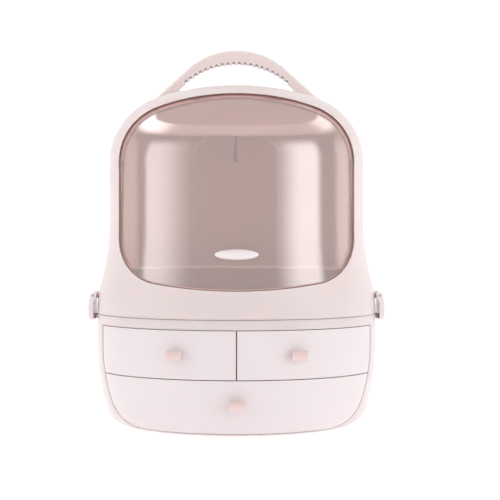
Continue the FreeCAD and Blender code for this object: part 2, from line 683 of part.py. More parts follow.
def visor():
    """Clear shell that fills the window, with an ear at each side for its pin."""
    outer_in = WALL + VISOR_GAP
    shell = hood_shell_between(outer_in, outer_in + VISOR_T)
    lower = front_prism(window_outline(-VISOR_GAP), -FAR, 0)
    upper = front_prism(window_outline(VISOR_OVERLAP), -FAR, 0)
    upper = upper.common(box(-FAR, FAR, -FAR, 0, PIVOT_Z + VISOR_STEP_UP, HOOD_TOP))
    shell = shell.common(fuse_all([lower, upper]))
    ear = rod(EAR_R, (EAR_X - EAR_T, PIVOT_Y, PIVOT_Z), (EAR_X, PIVOT_Y, PIVOT_Z))
    whole = fuse_all([shell, ear, mirror_x(ear)])
    bore = rod(PIN_R + PIN_RUN, (-FAR, PIVOT_Y, PIVOT_Z), (FAR, PIVOT_Y, PIVOT_Z))
    return whole.cut(bore)


def visor_pull():
    """Domed oval on the visor's face."""
    reach_scale = FreeCAD.Matrix()
    reach_scale.scale(*PULL_HALF)
    dome = Part.makeSphere(1).transformGeometry(reach_scale)
    profile_y = face_y(0, WALL + VISOR_GAP) * (HOOD_SIDE_X + PULL_SEAT) / BASE_A
    dome.translate(Vector(0, profile_y, PULL_Z))
    return dome.cut(hood_solid(WALL + VISOR_GAP, HOOD_Z0))


def visor_pin():
    inner_x = EAR_X - EAR_T - PIN_PLAY
    shank = rod(PIN_R, (inner_x, PIVOT_Y, PIVOT_Z), (pin_end_x(), PIVOT_Y, PIVOT_Z))
    head = rod(PIN_HEAD_R, (inner_x - PIN_HEAD_T, PIVOT_Y, PIVOT_Z), (inner_x, PIVOT_Y, PIVOT_Z))
    return fuse_all([shank, head])


# Tray in the compartment

def tray_floor_z():
    return DECK_Z + DECK_T + TRAY_WALL


def upper_tray():
    """Oval tray whose rim is high at the back and low behind the window."""
    z0 = DECK_Z + DECK_T
    body = oval_prism(TRAY_A, TRAY_B, z0, TRAY_RIM_Z)
    hollow = oval_prism(TRAY_A - TRAY_WALL, TRAY_B - TRAY_WALL, tray_floor_z(), TRAY_RIM_Z)
    low_y, high_y = TRAY_SLOPE_Y
    points = [(-FAR, TRAY_FRONT_Z), (low_y, TRAY_FRONT_Z), (high_y, TRAY_RIM_Z), (high_y, FAR), (-FAR, FAR)]
    loop = [Vector(-FAR, y, z) for y, z in points]
    scoop = Part.Face(Part.makePolygon(loop + loop[:1])).extrude(Vector(2 * FAR, 0, 0))
    return body.cut(hollow).cut(scoop)


def tray_divider(x0, x1, y0, y1):
    """Low wall that stands on the tray's floor and ends at its sides."""
    wall = box(x0, x1, y0, y1, tray_floor_z(), DIVIDER_TOP)
    return wall.common(oval_prism(TRAY_A - TRAY_WALL, TRAY_B - TRAY_WALL, tray_floor_z(), DIVIDER_TOP))


def build():
    """All pieces by name."""
    half_t = DIVIDER_T / 2
    upper_z0 = DRAWER_SPLIT_Z + SPLIT_GAP
    left_front = drawer_front(-FAR, -REVEAL, upper_z0, DRAWER_TOP_Z, -UPPER_KNOB_X, UPPER_KNOB_Z)
    lower_front = drawer_front(-FAR, FAR, DRAWER_Z0, DRAWER_SPLIT_Z - SPLIT_GAP, 0, LOWER_KNOB_Z)
    right_box = upper_drawer_box()
    rear_y0 = CROSS_Y + DIVIDER_T
    right_divider = tray_divider(REAR_DIVIDER_X - half_t, REAR_DIVIDER_X + half_t, rear_y0, TRAY_B)
    right_latch = latch()
    return {
        "base_shell": base_shell(),
        "anti_slip_pad": anti_slip_pad(),
        "drawer_shelf": drawer_shelf(),
        "drawer_partition": drawer_partition(),
        "compartment_floor": compartment_floor(),
        "deck_screws": deck_screws(),
        "left_drawer_front": left_front,
        "left_drawer_box": mirror_x(right_box),
        "left_drawer_knob": knob(-UPPER_KNOB_X, UPPER_KNOB_Z),
        "left_drawer_screw": knob_screw(-UPPER_KNOB_X, UPPER_KNOB_Z),
        "right_drawer_front": mirror_x(left_front),
        "right_drawer_box": right_box,
        "right_drawer_knob": knob(UPPER_KNOB_X, UPPER_KNOB_Z),
        "right_drawer_screw": knob_screw(UPPER_KNOB_X, UPPER_KNOB_Z),
        "lower_drawer_front": lower_front,
        "lower_drawer_box": lower_drawer_box(),
        "lower_drawer_knob": knob(0, LOWER_KNOB_Z),
        "lower_drawer_screw": knob_screw(0, LOWER_KNOB_Z),
        "hood_shell": hood_shell(),
        "back_liner": back_liner(),
        "handle": handle(),
        "handle_screws": handle_screws(),
        "left_latch": mirror_x(right_latch),
        "left_latch_pin": mirror_x(latch_pin()),
        "right_latch": right_latch,
        "right_latch_pin": latch_pin(),
        "visor": visor(),
        "visor_pull": visor_pull(),
        "left_visor_pin": mirror_x(visor_pin()),
        "right_visor_pin": visor_pin(),
        "upper_tray": upper_tray(),
        "tray_cross_divider": tray_divider(-TRAY_A, TRAY_A, CROSS_Y, rear_y0),
        "tray_left_divider": mirror_x(right_divider),
        "tray_right_divider": right_divider,
        "tray_front_divider": tray_divider(-half_t, half_t, -TRAY_B, CROSS_Y),
    }


def main():
    os.makedirs("parts", exist_ok=True)
    for name, shape in build().items():
        solids = shape.Solids
        placed = solids[0] if len(solids) == 1 else Part.makeCompound(solids)
        placed = placed.copy()
        placed.translate(ORIGIN_SHIFT)
        placed.exportStep("parts/" + name + ".step")
        size = placed.BoundBox
        print(name, len(solids), "solids", "valid" if placed.isValid() else "INVALID", round(placed.Volume),
              [round(v, 1) for v in (size.XMin, size.XMax, size.YMin, size.YMax, size.ZMin, size.ZMax)])


main()
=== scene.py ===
"""Finishes and studio for the oval cosmetic organizer box."""
import math

import bpy
import numpy as np
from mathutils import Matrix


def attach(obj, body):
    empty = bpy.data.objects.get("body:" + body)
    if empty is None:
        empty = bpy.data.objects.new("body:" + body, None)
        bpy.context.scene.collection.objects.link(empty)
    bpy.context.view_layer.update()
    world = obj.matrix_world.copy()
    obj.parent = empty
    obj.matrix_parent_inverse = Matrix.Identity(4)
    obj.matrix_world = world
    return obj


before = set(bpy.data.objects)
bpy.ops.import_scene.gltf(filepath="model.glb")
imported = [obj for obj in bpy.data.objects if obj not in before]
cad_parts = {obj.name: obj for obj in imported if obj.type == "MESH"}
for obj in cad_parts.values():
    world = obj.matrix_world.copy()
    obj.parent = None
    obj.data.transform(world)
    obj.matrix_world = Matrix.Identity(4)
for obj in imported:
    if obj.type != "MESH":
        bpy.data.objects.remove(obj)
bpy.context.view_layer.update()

bl_info = {
    "name": "Cosmetic organizer box",
    "version": (1, 0, 0),
    "blender": (4, 5, 0),
    "location": "View3D > Sidebar > Organizer",
    "description": "Dresses the organizer's parts in their plastics and sets up the studio",
    "category": "Object",
}

PINK_NODES = ("base_shell", "hood_shell")
HANDLE_NODES = ("handle",)
LINER_NODES = ("back_liner",)
TRAY_NODES = ("upper_tray", "compartment_floor", "drawer_shelf", "drawer_partition", "tray_cross_divider",
              "tray_left_divider", "tray_right_divider", "tray_front_divider")
LATCH_NODES = ("left_latch", "right_latch")
KNOB_NODES = ("left_drawer_knob", "right_drawer_knob", "lower_drawer_knob")
DRAWER_NODES = ("left_drawer_front", "left_drawer_box", "right_drawer_front", "right_drawer_box",
                "lower_drawer_front", "lower_drawer_box")
VISOR_NODES = ("visor",)
PULL_NODES = ("visor_pull",)
PIN_NODES = ("left_visor_pin", "right_visor_pin")
STEEL_NODES = ("deck_screws", "handle_screws", "left_drawer_screw", "right_drawer_screw",
               "lower_drawer_screw", "left_latch_pin", "right_latch_pin")
PAD_NODES = ("anti_slip_pad",)

# Lengths in this block are millimetres, about the middle of the oval plan, which lies PLAN_SHIFT behind
# the origin
PLAN_SHIFT = 6.25
CABINET_HALF_W = 130.0
CABINET_HALF_D = 95.0

# The hood's outline from the front: crest arc, corner arcs, straight sides and flares
CREST_R = 235.0
CREST_Z = 80.0
CORNER_R = 63.0
CORNER_X = 56.0
FLARE_R = 190.0
FLARE_X = 309.0
FLARE_Z = 185.0

# The window in it: its top and sides follow the outline, its low corners and bottom have arcs of their own
WINDOW_INSET = 12.0
LOW_R = 40.0
LOW_X = 67.0
BOTTOM_R = 470.0
BOTTOM_Z = 596.9
ARC_STEPS = (60, 50, 40, 60)

# The band along the visor's edge: gap to the window, widths at the top and low down, the heights between
# which it widens, the depth of its face inside the hood's outer face, and its thickness
RIM_GAP = 0.35
RIM_TOP_W = 4.8
RIM_LOW_W = 1.2
RIM_WIDENS = (205.0, 268.0)
RIM_FRONT = 3.15
RIM_T = 0.7

# The fin under the liner's top edge, on a panel that lies FIN_WALL inside the hood's outer face
FIN_TOP = 272.6
FIN_DROP = 26.0
FIN_WALL = 6.8
FIN_FRONT = 65.8
FIN_SLOPE = 14.5
FIN_STAND = 2.5
FIN_HALF = 1.15
FIN_SPREAD = 3.2
FIN_ROOT = 0.6
FIN_ROWS = 12

# Metres: where a mask changes from 1 to 0. The grip's notches lie between two circles, the liner's raised
# field has a half width, a top and a corner chamfer along which a painted highlight runs, and the painted
# shade on the fin's flank ends near its front edge
GRIP_CENTRE = (0, 0, 0.2631)
GRIP_INNER = (0.07475, 0.0750)
GRIP_OUTER = (0.0765, 0.0768)
GRIP_TURNED = (0.3, 0.6)
FIELD_HALF = 0.042
FIELD_TOP = 0.273
FIELD_CHAMFER = 0.013
FIELD_LINE = (0.0008, 0.0020)
FLANK_END = (0.0001, 0.0004)

# Roughness of the mouldings, grain in millimetres, and how much light their walls let through
SATIN_ROUGH = 0.42
INNER_ROUGH = 0.45
DRAWER_ROUGH = 0.40
GLOSS_ROUGH = 0.25
PULL_ROUGH = 0.22
RIM_ROUGH = 0.30
SATIN_GRAIN = 0.9
GLOSS_GRAIN = 0.7
SHELL_THROUGH = 0.8
TRAY_THROUGH = 0.2
SOLID_THROUGH = 0.1
LINER_THROUGH = 0.05

# The light tent: brightness, then where a light starts, is full, fades and ends, by azimuth in degrees
# (0 in front, right positive) or by level (0 at the floor, 1 at the roof)
TENT_HEIGHT = 2.4
FRONT_GLOW = 0.64
LEFT_BOX = (2.0, 27, 62, 70, 78)
RIGHT_BOX = (2.8, 24, 48, 60, 70)
BOX_TOP = (0.32, 0.54)
LEFT_PANEL = 0.2
RIGHT_PANEL = 0.6
PANEL_SPAN = (84, 92, 124, 142)
PANEL_TOP = (0.3, 0.52)
BACK_GLOW = 0.55
BACK_SPAN = (110, 150)
UPPER_GLOW = 0.5
UPPER_SPAN = (0.55, 0.75)
LEFT_LAMP = (2.8, 52, 84, 112, 130)
RIGHT_LAMP = (1.5, 70, 97, 112, 130)
LAMP_SPAN = (0.55, 0.72, 0.94, 1.0)
ROOF_GLOW = 0.75
AIR_GLOW = 0.15

# The light table under the paper: dim towards the camera, bright from just before the box to the back
TABLE_SPAN = (-0.8, -0.3)
TABLE_GLOW = (0.05, 0.58)

# Sockets of a Mix node that mixes colours
MIX_SHARE = 0
MIX_A = 6
MIX_B = 7
MIX_RESULT = 2


def linear(code):
    """The linear colour of an sRGB hex code."""
    parts = np.array([int(code[i:i + 2], 16) for i in (1, 3, 5)]) / 255
    return tuple(np.where(parts <= 0.04045, parts / 12.92, ((parts + 0.055) / 1.055) ** 2.4))


def colour_property(name, description, code):
    """A colour that starts as this sRGB hex code."""
    return bpy.props.FloatVectorProperty(name=name, description=description, size=3, min=0, max=1,
                                         subtype="COLOR", default=linear(code))


class OrganizerColours(bpy.types.PropertyGroup):
    """Colours of the mouldings."""
    shell: colour_property("Shell", "Cabinet and hood", "#E6D1CF")
    handle: colour_property("Handle", "Carrying handle", "#E6D7D5")
    groove: colour_property("Grooves", "Shade in the grip's notches", "#7E6460")
    liner: colour_property("Liner", "Panel inside the hood's back", "#FFE4DF")
    # The field-edge colour is a painted highlight: white along the raised field's outline stands in for
    # light caught by its edges, not a polished finish.
    edge: colour_property("Field edge", "Polished edge of the liner's raised field", "#FFFFFF")
    # The fin-flank colour is painted shade: the fin's left flank is darkened where shade falls on it.
    flank: colour_property("Fin flank", "Dark flank of the liner's fin", "#3A2422")
    tray: colour_property("Tray", "Tray, dividers and shelves", "#C9A39D")
    drawer: colour_property("Drawers", "Drawer fronts and boxes", "#DED3D5")
    knob: colour_property("Knobs", "Drawer knobs", "#DCC2BF")
    latch: colour_property("Buckles", "Side buckles", "#E9DBDD")
    visor: colour_property("Visor", "Tint of the clear visor", "#FFEAE6")
    rim: colour_property("Visor rim", "Darker band along the visor's edge", "#D6B0AC")
    pull: colour_property("Pull", "Oval pull on the visor", "#EADFDF")
    steel: colour_property("Steel", "Screws and buckle pins", "#C4C4C6")
    pad: colour_property("Pad", "Pad under the floor", "#D9D3D3")


class OrganizerStage(bpy.types.PropertyGroup):
    """Studio sizes."""
    camera_distance: bpy.props.FloatProperty(
        name="Camera distance", description="From the middle of the box to the camera",
        default=1.19375, min=0.3, unit="LENGTH")
    camera_height: bpy.props.FloatProperty(
        name="Camera height", description="Height of the lens above the floor",
        default=0.1905, unit="LENGTH")
    lens: bpy.props.FloatProperty(
        name="Lens", description="Focal length in millimetres on a 36 mm sensor", default=92.05, min=10)
    shift_right: bpy.props.FloatProperty(
        name="Shift right", description="Sideways shift of the lens, as a share of the frame", default=0.027)
    shift_up: bpy.props.FloatProperty(
        name="Shift up", description="Upward shift of the lens, as a share of the frame", default=-0.0634)
    floor_size: bpy.props.FloatProperty(
        name="Floor", description="Radius of the floor and the light tent", default=1.9, min=1,
        unit="LENGTH")
    floor_colour: colour_property("Floor colour", "Colour of the pale floor", "#D8D8D8")


def smooth(values, low, high):
    """Rises from 0 at low to 1 at high along 3t^2 - 2t^3."""
    t = np.clip((values - low) / (high - low), 0, 1)
    return t * t * (3 - 2 * t)


def hump(values, start, full, fade, end):
    """Rises from start to full, stays, and falls from fade to end."""
    return smooth(values, start, full) * (1 - smooth(values, fade, end))


def add(tree, kind, inputs=None, **fields):
    """Adds a node, sets its fields, and sets or links its inputs."""
    made = tree.nodes.new(kind)
    for field, value in fields.items():
        setattr(made, field, value)
    for socket, value in (inputs or {}).items():
        if isinstance(value, bpy.types.NodeSocket):
            tree.links.new(value, made.inputs[socket])
        else:
            made.inputs[socket].default_value = value
    return made


def per_metre(size_mm):
    """Texture scale whose features are about this many millimetres apart."""
    return 1000 / size_mm


def rgba(colour, factor=1.0):
    """A socket's colour: the linear colour times factor, opaque."""
    return (*[min(1.0, part * factor) for part in colour], 1.0)


def new_tree(name):
    """A material with an empty node tree, the tree, and the place of a point in the part's frame."""
    material = bpy.data.materials.new(name)
    material.use_nodes = True
    tree = material.node_tree
    tree.nodes.clear()
    return material, tree, add(tree, "ShaderNodeTexCoord").outputs["Object"]


def grip_notches(tree, place):
    """1 on the walls of the grip's notches: points between two circles, not on the flat sides."""
    flat = add(tree, "ShaderNodeVectorMath", {0: place, 1: (1, 0, 1)}, operation="MULTIPLY")
    reach = add(tree, "ShaderNodeVectorMath", {0: flat.outputs["Vector"], 1: GRIP_CENTRE},
                operation="DISTANCE").outputs["Value"]
    outside = add(tree, "ShaderNodeMapRange",
                  {"Value": reach, "From Min": GRIP_INNER[0], "From Max": GRIP_INNER[1]})
    inside = add(tree, "ShaderNodeMapRange",
                 {"Value": reach, "From Min": GRIP_OUTER[0], "From Max": GRIP_OUTER[1],
                  "To Min": 1.0, "To Max": 0.0})
    normal = add(tree, "ShaderNodeNewGeometry").outputs["Normal"]
    facing = add(tree, "ShaderNodeSeparateXYZ", {"Vector": normal})
    side = add(tree, "ShaderNodeMath", {0: facing.outputs["Y"]}, operation="ABSOLUTE")
    wall = add(tree, "ShaderNodeMapRange",
               {"Value": side.outputs["Value"], "From Min": GRIP_TURNED[0], "From Max": GRIP_TURNED[1],
                "To Min": 1.0, "To Max": 0.0})
    band = add(tree, "ShaderNodeMath", {0: outside.outputs["Result"], 1: inside.outputs["Result"]},
               operation="MULTIPLY")
    return add(tree, "ShaderNodeMath", {0: band.outputs["Value"], 1: wall.outputs["Result"]},
               operation="MULTIPLY").outputs["Value"]


def field_edge_highlight(tree, place):
    """1 along the outline of the liner's raised field, where its colour is a painted highlight standing in
    for light caught by the chamfered edges: there the largest of the distances past its side, its chamfer
    and its top edge is near 0."""
    spot = add(tree, "ShaderNodeSeparateXYZ", {"Vector": place})
    across = add(tree, "ShaderNodeMath", {0: spot.outputs["X"]}, operation="ABSOLUTE")
    side = add(tree, "ShaderNodeMath", {0: across.outputs["Value"], 1: FIELD_HALF},
               operation="SUBTRACT").outputs["Value"]
    top = add(tree, "ShaderNodeMath", {0: spot.outputs["Z"], 1: FIELD_TOP},
              operation="SUBTRACT").outputs["Value"]
    slant = add(tree, "ShaderNodeMath", {0: side, 1: top}, operation="ADD")
    cut = add(tree, "ShaderNodeMath", {0: slant.outputs["Value"], 1: FIELD_CHAMFER}, operation="ADD")
    corner = add(tree, "ShaderNodeMath", {0: cut.outputs["Value"], 1: math.sqrt(0.5)}, operation="MULTIPLY")
    square = add(tree, "ShaderNodeMath", {0: side, 1: top}, operation="MAXIMUM")
    past = add(tree, "ShaderNodeMath", {0: square.outputs["Value"], 1: corner.outputs["Value"]},
               operation="MAXIMUM")
    apart = add(tree, "ShaderNodeMath", {0: past.outputs["Value"]}, operation="ABSOLUTE")
    return add(tree, "ShaderNodeMapRange",
               {"Value": apart.outputs["Value"], "From Min": FIELD_LINE[0], "From Max": FIELD_LINE[1],
                "To Min": 1.0, "To Max": 0.0}).outputs["Result"]


def fin_flank_shade(tree, place):
    """1 on the left flank of the liner's fin, where its colour is painted shade, 0 on its front edge and
    right flank.
    """
    spot = add(tree, "ShaderNodeSeparateXYZ", {"Vector": place})
    return add(tree, "ShaderNodeMapRange",
               {"Value": spot.outputs["X"], "From Min": FLANK_END[0], "From Max": FLANK_END[1],
                "To Min": 1.0, "To Max": 0.0}).outputs["Result"]


def moulded_abs(name, colour, roughness, grain_mm, through, mask=None, other=None):
    """ABS from a spark-eroded mould: an even satin with a fine grain and faint, broad flow marks.
    The real grain is near 0.1 mm; it is drawn coarser so that it shows. Thin walls let some light through,
    and where mask is 1, the colour is the other one."""
    material, tree, place = new_tree(name)
    grain = add(tree, "ShaderNodeTexNoise",
                {"Vector": place, "Scale": per_metre(grain_mm), "Detail": 3.0}).outputs["Fac"]
    flow = add(tree, "ShaderNodeTexNoise", {"Vector": place, "Scale": per_metre(60), "Detail": 2.0})
    tint = add(tree, "ShaderNodeMix",
               {MIX_SHARE: flow.outputs["Fac"], MIX_A: rgba(colour, 0.97), MIX_B: rgba(colour, 1.02)},
               data_type="RGBA").outputs[MIX_RESULT]
    if mask:
        tint = add(tree, "ShaderNodeMix", {MIX_SHARE: mask(tree, place), MIX_A: tint, MIX_B: rgba(other)},
                   data_type="RGBA").outputs[MIX_RESULT]
    gloss = add(tree, "ShaderNodeMapRange",
                {"Value": grain, "To Min": roughness - 0.05, "To Max": roughness + 0.05})
    bump = add(tree, "ShaderNodeBump", {"Height": grain, "Strength": 0.12, "Distance": 0.00008})
    shader = add(tree, "ShaderNodeBsdfPrincipled",
                 {"Base Color": tint, "Roughness": gloss.outputs["Result"],
                  "Normal": bump.outputs["Normal"], "IOR": 1.53, "Subsurface Weight": through,
                  "Subsurface Radius": (1.0, 0.85, 0.8), "Subsurface Scale": 0.009})
    add(tree, "ShaderNodeOutputMaterial", {"Surface": shader.outputs["BSDF"]})
    return material


def polished_acrylic(name, colour):
    """PMMA, moulded clear with a rose dye and a hard, polished coat: sharp reflections, a slight haze and
    fine wiping marks in the gloss."""
    material, tree, place = new_tree(name)
    wiped = add(tree, "ShaderNodeTexNoise",
                {"Vector": place, "Scale": per_metre(25), "Detail": 4.0}).outputs["Fac"]
    tint = add(tree, "ShaderNodeMix",
               {MIX_SHARE: wiped, MIX_A: rgba(colour, 0.98), MIX_B: rgba(colour, 1.01)}, data_type="RGBA")
    gloss = add(tree, "ShaderNodeMapRange", {"Value": wiped, "To Min": 0.02, "To Max": 0.06})
    bump = add(tree, "ShaderNodeBump", {"Height": wiped, "Strength": 0.02, "Distance": 0.0002})
    shader = add(tree, "ShaderNodeBsdfPrincipled",
                 {"Base Color": tint.outputs[MIX_RESULT], "Roughness": gloss.outputs["Result"],
                  "Normal": bump.outputs["Normal"], "IOR": 1.49, "Transmission Weight": 0.83,
                  "Coat Weight": 1.0, "Coat Roughness": 0.03, "Coat IOR": 1.8})
    add(tree, "ShaderNodeOutputMaterial", {"Surface": shader.outputs["BSDF"]})
    return material


def zinc_steel(name, colour):
    """Zinc-plated steel: a bright, slightly cloudy metal with turning marks too fine to show singly."""
    material, tree, place = new_tree(name)
    cloud = add(tree, "ShaderNodeTexNoise",
                {"Vector": place, "Scale": per_metre(2.5), "Detail": 3.0}).outputs["Fac"]
    tint = add(tree, "ShaderNodeMix",
               {MIX_SHARE: cloud, MIX_A: rgba(colour, 0.9), MIX_B: rgba(colour, 1.05)}, data_type="RGBA")
    gloss = add(tree, "ShaderNodeMapRange", {"Value": cloud, "To Min": 0.25, "To Max": 0.42})
    bump = add(tree, "ShaderNodeBump", {"Height": cloud, "Strength": 0.1, "Distance": 0.0001})
    shader = add(tree, "ShaderNodeBsdfPrincipled",
                 {"Base Color": tint.outputs[MIX_RESULT], "Roughness": gloss.outputs["Result"],
                  "Normal": bump.outputs["Normal"], "Metallic": 1.0})
    add(tree, "ShaderNodeOutputMaterial", {"Surface": shader.outputs["BSDF"]})
    return material


def foamed_rubber(name, colour):
    """Foamed EVA rubber: dull, with small open pores and a powdery face."""
    material, tree, place = new_tree(name)
    pores = add(tree, "ShaderNodeTexVoronoi",
                {"Vector": place, "Scale": per_metre(1.2)}).outputs["Distance"]
    tint = add(tree, "ShaderNodeMix",
               {MIX_SHARE: pores, MIX_A: rgba(colour, 0.86), MIX_B: rgba(colour)}, data_type="RGBA")
    gloss = add(tree, "ShaderNodeMapRange", {"Value": pores, "To Min": 0.85, "To Max": 0.95})
    bump = add(tree, "ShaderNodeBump", {"Height": pores, "Strength": 0.4, "Distance": 0.0003})
    shader = add(tree, "ShaderNodeBsdfPrincipled",
                 {"Base Color": tint.outputs[MIX_RESULT], "Roughness": gloss.outputs["Result"],
                  "Normal": bump.outputs["Normal"], "IOR": 1.5})
    add(tree, "ShaderNodeOutputMaterial", {"Surface": shader.outputs["BSDF"]})
    return material


def lit_cloth(name):
    """White tent cloth lit from outside: its glow follows the lamps behind it, with a faint weave."""
    material, tree, place = new_tree(name)
    weave = add(tree, "ShaderNodeTexNoise", {"Vector": place, "Scale": per_metre(8), "Detail": 2.0})
    tint = add(tree, "ShaderNodeMix",
               {MIX_SHARE: weave.outputs["Fac"], MIX_A: (0.98, 0.98, 0.98, 1), MIX_B: (1, 1, 1, 1)},
               data_type="RGBA")
    glow = add(tree, "ShaderNodeAttribute", attribute_name="glow")
    shader = add(tree, "ShaderNodeEmission",
                 {"Color": tint.outputs[MIX_RESULT], "Strength": glow.outputs["Fac"]})
    add(tree, "ShaderNodeOutputMaterial", {"Surface": shader.outputs["Emission"]})
    return material


def lit_paper(name, colour):
    """Studio paper on a light table: matt white with a faint pulp mottle, brighter towards the back."""
    material, tree, place = new_tree(name)
    pulp = add(tree, "ShaderNodeTexNoise", {"Vector": place, "Scale": per_metre(8), "Detail": 3.0})
    tint = add(tree, "ShaderNodeMix",
               {MIX_SHARE: pulp.outputs["Fac"], MIX_A: rgba(colour, 0.99), MIX_B: rgba(colour)},
               data_type="RGBA")
    depth = add(tree, "ShaderNodeSeparateXYZ", {"Vector": place})
    lit = add(tree, "ShaderNodeMapRange",
              {"Value": depth.outputs["Y"], "From Min": TABLE_SPAN[0], "From Max": TABLE_SPAN[1],
               "To Min": TABLE_GLOW[0], "To Max": TABLE_GLOW[1]})
    shader = add(tree, "ShaderNodeBsdfPrincipled",
                 {"Base Color": tint.outputs[MIX_RESULT], "Roughness": 0.9, "Emission Color": (1, 1, 1, 1),
                  "Emission Strength": lit.outputs["Result"]})
    add(tree, "ShaderNodeOutputMaterial", {"Surface": shader.outputs["BSDF"]})
    return material


def mesh_object(name, points, faces, material):
    """An object in the scene with this mesh and material, at the origin."""
    mesh = bpy.data.meshes.new(name)
    mesh.from_pydata(points.reshape(-1, 3).tolist(), [], faces.reshape(-1, 4).tolist())
    mesh.materials.append(material)
    made = bpy.data.objects.new(name, mesh)
    bpy.context.scene.collection.objects.link(made)
    return made


def point_index(points):
    """The number of each point in a grid of points."""
    return np.arange(points.shape[0] * points.shape[1]).reshape(points.shape[:2])


def grid_faces(points):
    """Four-sided faces over a rows by columns grid of points."""
    index = point_index(points)
    return np.stack([index[:-1, :-1], index[:-1, 1:], index[1:, 1:], index[1:, :-1]], axis=-1)


def band_faces(lines):
    """Faces of a closed band: lines of points, joined line to line and the last back to the first, each of
    them closed round."""
    index = point_index(lines)
    ahead = np.roll(index, -1, axis=0)
    return np.stack([index, ahead, np.roll(ahead, -1, axis=1), np.roll(index, -1, axis=1)], axis=-1)


def bar_faces(rings):
    """Faces of a closed bar: four-cornered rings joined in order, with a face at each end."""
    index = point_index(rings)
    beside = np.roll(index, -1, axis=1)
    sides = np.stack([index[:-1], index[1:], beside[1:], beside[:-1]], axis=-1).reshape(-1, 4)
    return np.concatenate([sides, index[:1], index[-1:, ::-1]])


def window_outline(inward):
    """Right half of the window's edge, moved inward by this many millimetres: crest arc, corner arc,
    straight side, lower corner arc and bottom arc, from the top middle to the bottom middle."""
    inset = WINDOW_INSET + inward
    corner_z = CREST_Z + math.sqrt((CREST_R - CORNER_R) ** 2 - CORNER_X ** 2)
    low_z = BOTTOM_Z - math.sqrt((BOTTOM_R - LOW_R) ** 2 - LOW_X ** 2)
    meet = math.atan2(corner_z - CREST_Z, CORNER_X)
    low_meet = math.atan2(low_z - BOTTOM_Z, LOW_X)
    arcs = (
        (0, CREST_Z, CREST_R - inset, math.pi / 2, meet),
        (CORNER_X, corner_z, CORNER_R - inset, meet, 0),
        (LOW_X, low_z, LOW_R - inward, 0, low_meet),
        (0, BOTTOM_Z, BOTTOM_R - inward, low_meet, -math.pi / 2),
    )
    runs = []
    for (x, z, radius, start, end), steps in zip(arcs, ARC_STEPS):
        turn = np.linspace(start, end, steps)
        runs.append(np.stack([x + radius * np.cos(turn), z + radius * np.sin(turn)], axis=-1))
    return np.concatenate(runs)


def hood_face(x, z, inset):
    """Depth of the hood's front face at (x, z), moved in by inset: an oval section whose half width follows
    the hood's crest, corner, straight side and flare, flattened towards the front."""
    apart = CREST_R - CORNER_R
    corner_z = CREST_Z + math.sqrt(apart ** 2 - CORNER_X ** 2)
    meet_z = CREST_Z + (CREST_R - inset) * (corner_z - CREST_Z) / apart
    above = np.clip(z - corner_z, 0, None)
    below = np.clip(FLARE_Z - z, 0, None)
    crest = np.sqrt(np.clip((CREST_R - inset) ** 2 - (z - CREST_Z) ** 2, 0, None))
    corner = CORNER_X + np.sqrt(np.clip((CORNER_R - inset) ** 2 - above ** 2, 0, None))
    flare = FLARE_X - np.sqrt((FLARE_R + inset) ** 2 - below ** 2)
    half = np.where(z > meet_z, crest, np.where(z > corner_z, corner, flare))
    flat = (CABINET_HALF_D - inset) / (CABINET_HALF_W - inset)
    return -flat * np.sqrt(np.clip(half ** 2 - x ** 2, 0, None))


def rim_lines():
    """Four lines of a band let into the visor along its edge, a little proud of its outer face: the window's
    outline moved in by the gap, and moved in further by a width that grows with height."""
    outer = window_outline(RIM_GAP)
    share = smooth(outer[:, 1], *RIM_WIDENS)[:, None]
    inner = window_outline(RIM_GAP + RIM_LOW_W) * (1 - share) + window_outline(RIM_GAP + RIM_TOP_W) * share
    back = RIM_FRONT + RIM_T
    lines = []
    for line, inset in ((outer, RIM_FRONT), (inner, RIM_FRONT), (inner, back), (outer, back)):
        whole = np.concatenate([line, line[-2:0:-1] * (-1, 1)])
        y = hood_face(whole[:, 0], whole[:, 1], inset) + PLAN_SHIFT
        lines.append(np.stack([whole[:, 0], y, whole[:, 1]], axis=-1))
    return np.stack(lines, axis=0) / 1000


def fin_rings():
    """Four-cornered rings over the liner's fin, from its top down: the front edge follows the fin's slope
    and then stands off the panel, and the left flank spreads in proportion to the drop."""
    drop = np.linspace(0, 1, FIN_ROWS)
    z = FIN_TOP - FIN_DROP * drop
    wall = -hood_face(0, z, FIN_WALL)
    front = np.minimum(FIN_FRONT + FIN_SLOPE * drop, wall - FIN_STAND)
    root = wall + FIN_ROOT
    left = -FIN_HALF - FIN_SPREAD * drop
    edge = np.full(FIN_ROWS, -FIN_HALF)
    right = np.full(FIN_ROWS, FIN_HALF)
    corners = ((left, root), (edge, front), (right, front), (right, root))
    return np.stack([np.stack([x, y + PLAN_SHIFT, z], axis=-1) for x, y in corners], axis=1) / 1000


def tent_points(radius, azimuth, level):
    """A round wall: radius times (sin a, -cos a) over azimuth a in degrees, straight up over level."""
    turn = np.radians(azimuth)
    height = (TENT_HEIGHT * level)[:, None]
    return np.stack(np.broadcast_arrays(radius * np.sin(turn), -radius * np.cos(turn), height), axis=-1)


def disc_points(radius, rings, spokes, height):
    """A flat disc: r (sin a, -cos a) over radius r and azimuth a."""
    turn = np.linspace(-math.pi, math.pi, spokes)
    reach = np.linspace(0.001, radius, rings)[:, None]
    return np.stack(np.broadcast_arrays(reach * np.sin(turn), -reach * np.cos(turn), height), axis=-1)


